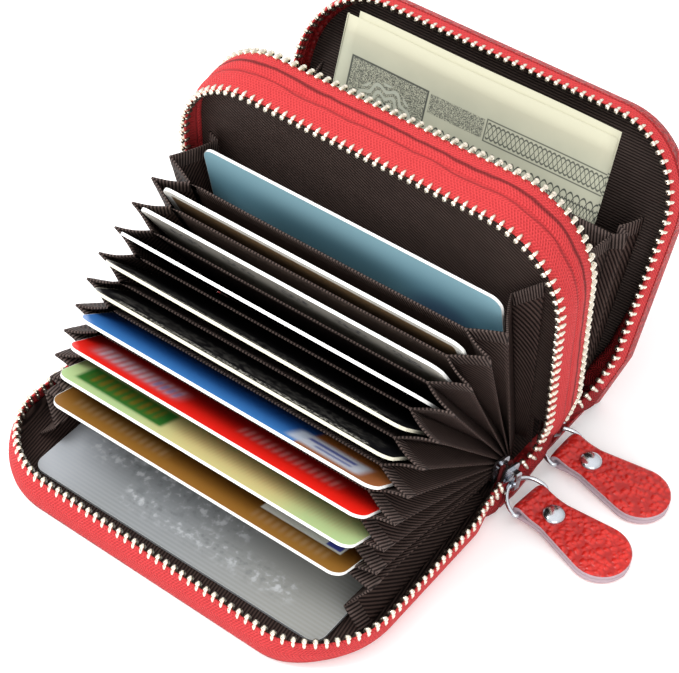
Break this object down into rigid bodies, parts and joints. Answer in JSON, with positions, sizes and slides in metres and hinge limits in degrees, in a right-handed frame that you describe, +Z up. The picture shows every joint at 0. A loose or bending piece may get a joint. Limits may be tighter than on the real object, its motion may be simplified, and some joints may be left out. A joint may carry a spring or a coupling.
{
  "type": "zipper card wallet",
  "caption": "Accordion card wallet in pebbled leather: front zip over fabric card pockets, rear zip over a note pocket, leather pulls, shown open.",
  "frame": {"origin": "on the underside of the spine strip, halfway along it, at table level", "axes": "+X along the spine towards the zip pulls, -Y towards the front cover, +Z up"},
  "size_m": [0.1415, 0.1428, 0.0768],
  "materials": {
    "shell_leather": "red pebbled leather, satin",
    "pull_leather": "bright red pebbled leather with pale raw edges",
    "zip_tape": "woven red zipper tape",
    "zip_metal": "pale polished metal",
    "pull_metal": "bright silver metal",
    "lining_fabric": "dark brown ribbed lining",
    "stiffener": "grey stiffener board",
    "note_paper": "pale green printed paper",
    "card_01_print": "teal grey face with a white edge",
    "card_02_print": "brown face with a white edge",
    "card_03_print": "cream face with a blue strip",
    "card_04_print": "black face with a white edge",
    "card_05_print": "black face with a cream edge",
    "card_06_print": "black face with a cream edge",
    "card_07_print": "blue to navy face with a white edge",
    "card_08_print": "red face with a grey blue strip",
    "card_09_print": "green face with a dark field",
    "card_10_print": "gold face with a white edge",
    "card_11_print": "brushed grey face"
  },
  "bodies": {
    "front_cover": {"front_cover_leather": "shell_leather", "front_cover_board": "stiffener", "front_cover_lining": "lining_fabric", "front_cover_zip_tape": "zip_tape", "front_cover_zip_teeth": "zip_metal", "front_cover_zip_stops": "zip_metal", "front_zip_tape_ends": "zip_tape"},
    "pocket_10": {"divider_10": "lining_fabric"},
    "pocket_09": {"divider_09": "lining_fabric"},
    "pocket_08": {"divider_08": "lining_fabric"},
    "pocket_07": {"divider_07": "lining_fabric"},
    "pocket_06": {"divider_06": "lining_fabric"},
    "pocket_05": {"divider_05": "lining_fabric"},
    "pocket_04": {"divider_04": "lining_fabric"},
    "pocket_03": {"divider_03": "lining_fabric"},
    "pocket_02": {"divider_02": "lining_fabric"},
    "pocket_01": {"divider_01": "lining_fabric"},
    "middle": {"middle_front_zip_tape": "zip_tape", "middle_front_zip_teeth": "zip_metal", "middle_rear_zip_tape": "zip_tape", "middle_rear_zip_teeth": "zip_metal", "middle_rear_zip_stops": "zip_metal", "rear_zip_tape_ends": "zip_tape", "middle_front_lining": "lining_fabric", "middle_rear_lining": "lining_fabric", "spine_leather": "shell_leather", "spine_lining": "lining_fabric", "accordion_pleats_left": "lining_fabric", "accordion_pleats_right": "lining_fabric"},
    "rear_pocket": {"rear_divider": "lining_fabric", "rear_pleats_left": "lining_fabric", "rear_pleats_right": "lining_fabric"},
    "rear_cover": {"rear_cover_leather": "shell_leather", "rear_cover_board": "stiffener", "rear_cover_lining": "lining_fabric", "rear_cover_zip_tape": "zip_tape", "rear_cover_zip_teeth": "zip_metal"},
    "notes": {"folded_notes": "note_paper"},
    "card_01": {"card_01": "card_01_print"},
    "card_02": {"card_02": "card_02_print"},
    "card_03": {"card_03": "card_03_print"},
    "card_04": {"card_04": "card_04_print"},
    "card_05": {"card_05": "card_05_print"},
    "card_06": {"card_06": "card_06_print"},
    "card_07": {"card_07": "card_07_print"},
    "card_08": {"card_08": "card_08_print"},
    "card_09": {"card_09": "card_09_print"},
    "card_10": {"card_10": "card_10_print"},
    "card_11": {"card_11": "card_11_print"},
    "front_slider": {"front_slider": "pull_metal"},
    "front_pull_ring": {"front_pull_ring": "pull_metal"},
    "front_pull": {"front_pull": "pull_leather", "front_pull_rivet": "pull_metal"},
    "rear_slider": {"rear_slider": "pull_metal"},
    "rear_pull_ring": {"rear_pull_ring": "pull_metal"},
    "rear_pull": {"rear_pull": "pull_leather", "rear_pull_rivet": "pull_metal"}
  },
  "joints": [
    {"name": "front_fold", "type": "hinge", "parent": "front_cover", "child": "pocket_10", "pos_m": [0, -0.0093, 0.0032], "axis": [-1, 0, 0], "range_deg": [-16.3, 0], "deforming": ["divider_10", "accordion_pleats_left", "accordion_pleats_right"]},
    {"name": "pocket_09_fold", "type": "hinge", "parent": "pocket_10", "child": "pocket_09", "pos_m": [0, -0.00964, -0.0095], "axis": [-1, 0, 0], "range_deg": [-6.1, 0], "deforming": ["divider_09"]},
    {"name": "pocket_08_fold", "type": "hinge", "parent": "pocket_09", "child": "pocket_08", "pos_m": [0, -0.00932, -0.00771], "axis": [-1, 0, 0], "range_deg": [-6.1, 0], "deforming": ["divider_08"]},
    {"name": "pocket_07_fold", "type": "hinge", "parent": "pocket_08", "child": "pocket_07", "pos_m": [0, -0.00889, -0.00618], "axis": [-1, 0, 0], "range_deg": [-6.1, 0], "deforming": ["divider_07"]},
    {"name": "pocket_06_fold", "type": "hinge", "parent": "pocket_07", "child": "pocket_06", "pos_m": [0, -0.00835, -0.00492], "axis": [-1, 0, 0], "range_deg": [-6.1, 0], "deforming": ["divider_06"]},
    {"name": "pocket_05_fold", "type": "hinge", "parent": "pocket_06", "child": "pocket_05", "pos_m": [0, -0.00771, -0.00393], "axis": [-1, 0, 0], "range_deg": [-6.1, 0], "deforming": ["divider_05"]},
    {"name": "pocket_04_fold", "type": "hinge", "parent": "pocket_05", "child": "pocket_04", "pos_m": [0, -0.00698, -0.00322], "axis": [-1, 0, 0], "range_deg": [-6.1, 0], "deforming": ["divider_04"]},
    {"name": "pocket_03_fold", "type": "hinge", "parent": "pocket_04", "child": "pocket_03", "pos_m": [0, -0.00617, -0.00282], "axis": [-1, 0, 0], "range_deg": [-6.1, 0], "deforming": ["divider_03"]},
    {"name": "pocket_02_fold", "type": "hinge", "parent": "pocket_03", "child": "pocket_02", "pos_m": [0, -0.0053, -0.00271], "axis": [-1, 0, 0], "range_deg": [-6.1, 0], "deforming": ["divider_02"]},
    {"name": "pocket_01_fold", "type": "hinge", "parent": "pocket_02", "child": "pocket_01", "pos_m": [0, 0.00255, 0.00075], "axis": [-1, 0, 0], "range_deg": [-14.1, 0], "deforming": ["divider_01"]},
    {"name": "middle_fold", "type": "hinge", "parent": "pocket_01", "child": "middle", "pos_m": [0, 0.01684, -0.00318], "axis": [-1, 0, 0], "range_deg": [-10.8, 0]},
    {"name": "rear_fold", "type": "hinge", "parent": "middle", "child": "rear_pocket", "pos_m": [0, 0.025, 0.001], "axis": [-1, 0, 0], "range_deg": [-21, 2], "deforming": ["rear_pleats_left", "rear_pleats_right"]},
    {"name": "rear_cover_fold", "type": "hinge", "parent": "rear_pocket", "child": "rear_cover", "pos_m": [0, 0.025, 0.001], "axis": [-1, 0, 0], "range_deg": [-8.51, 1]},
    {"name": "card_01_slide", "type": "slide", "parent": "pocket_01", "child": "card_01", "axis": [0, -0.1874, 0.9823], "range_m": [0, 0.05]},
    {"name": "card_02_slide", "type": "slide", "parent": "pocket_02", "child": "card_02", "axis": [0, -0.421, 0.907], "range_m": [0, 0.05]},
    {"name": "card_03_slide", "type": "slide", "parent": "pocket_03", "child": "card_03", "axis": [0, -0.515, 0.8572], "range_m": [0, 0.05]},
    {"name": "card_04_slide", "type": "slide", "parent": "pocket_04", "child": "card_04", "axis": [0, -0.6032, 0.7976], "range_m": [0, 0.05]},
    {"name": "card_05_slide", "type": "slide", "parent": "pocket_05", "child": "card_05", "axis": [0, -0.6845, 0.729], "range_m": [0, 0.05]},
    {"name": "card_06_slide", "type": "slide", "parent": "pocket_06", "child": "card_06", "axis": [0, -0.7581, 0.6521], "range_m": [0, 0.05]},
    {"name": "card_07_slide", "type": "slide", "parent": "pocket_07", "child": "card_07", "axis": [0, -0.8231, 0.5678], "range_m": [0, 0.05]},
    {"name": "card_08_slide", "type": "slide", "parent": "pocket_08", "child": "card_08", "axis": [0, -0.8788, 0.4772], "range_m": [0, 0.05]},
    {"name": "card_09_slide", "type": "slide", "parent": "pocket_09", "child": "card_09", "axis": [0, -0.9245, 0.3811], "range_m": [0, 0.05]},
    {"name": "card_10_slide", "type": "slide", "parent": "pocket_10", "child": "card_10", "axis": [0, -0.9598, 0.2807], "range_m": [0, 0.05]},
    {"name": "card_11_lift", "type": "hinge", "parent": "front_cover", "child": "card_11", "pos_m": [0, -0.01452, 0.0017], "axis": [-1, 0, 0], "range_deg": [0, 10]},
    {"name": "notes_slide", "type": "slide", "parent": "rear_pocket", "child": "notes", "axis": [0, 0.3173, 0.9483], "range_m": [0, 0.06]},
    {"name": "front_slider_slide", "type": "slide", "parent": "front_cover", "child": "front_slider", "axis": [0.0235, 0.2237, 0.9744], "range_m": [0, 0.004]},
    {"name": "front_ring_hinge", "type": "hinge", "parent": "front_slider", "child": "front_pull_ring", "pos_m": [0.05191, -0.00558, 0.00582], "axis": [-0.1045, -0.9945, 0], "range_deg": [0, 60]},
    {"name": "front_pull_hinge", "type": "hinge", "parent": "front_pull_ring", "child": "front_pull", "pos_m": [0.05796, -0.00621, 0.00325], "axis": [-0.1045, -0.9945, 0], "range_deg": [0, 35]},
    {"name": "rear_slider_slide", "type": "slide", "parent": "middle", "child": "rear_slider", "axis": [0.1159, 0.1928, 0.9744], "range_m": [0, 0.0025]},
    {"name": "rear_ring_hinge", "type": "hinge", "parent": "rear_slider", "child": "rear_pull_ring", "pos_m": [0.05037, 0.01546, 0.00502], "axis": [-0.4913, -0.8576, 0.1522], "range_deg": [0, 20]},
    {"name": "rear_pull_hinge", "type": "hinge", "parent": "rear_pull_ring", "child": "rear_pull", "pos_m": [0.05586, 0.01247, 0.00325], "axis": [-0.0175, -0.9998, 0], "range_deg": [0, 60]}
  ],
  "couplings": [
    {"joint": "pocket_09_fold", "follows": "front_fold", "ratio": 0.37423},
    {"joint": "pocket_08_fold", "follows": "front_fold", "ratio": 0.37423},
    {"joint": "pocket_07_fold", "follows": "front_fold", "ratio": 0.37423},
    {"joint": "pocket_06_fold", "follows": "front_fold", "ratio": 0.37423},
    {"joint": "pocket_05_fold", "follows": "front_fold", "ratio": 0.37423},
    {"joint": "pocket_04_fold", "follows": "front_fold", "ratio": 0.37423},
    {"joint": "pocket_03_fold", "follows": "front_fold", "ratio": 0.37423},
    {"joint": "pocket_02_fold", "follows": "front_fold", "ratio": 0.37423},
    {"joint": "pocket_01_fold", "follows": "front_fold", "ratio": 0.86503},
    {"joint": "middle_fold", "follows": "front_fold", "ratio": 0.66258},
    {"joint": "rear_cover_fold", "follows": "rear_fold", "ratio": 0.40476}
  ]
}
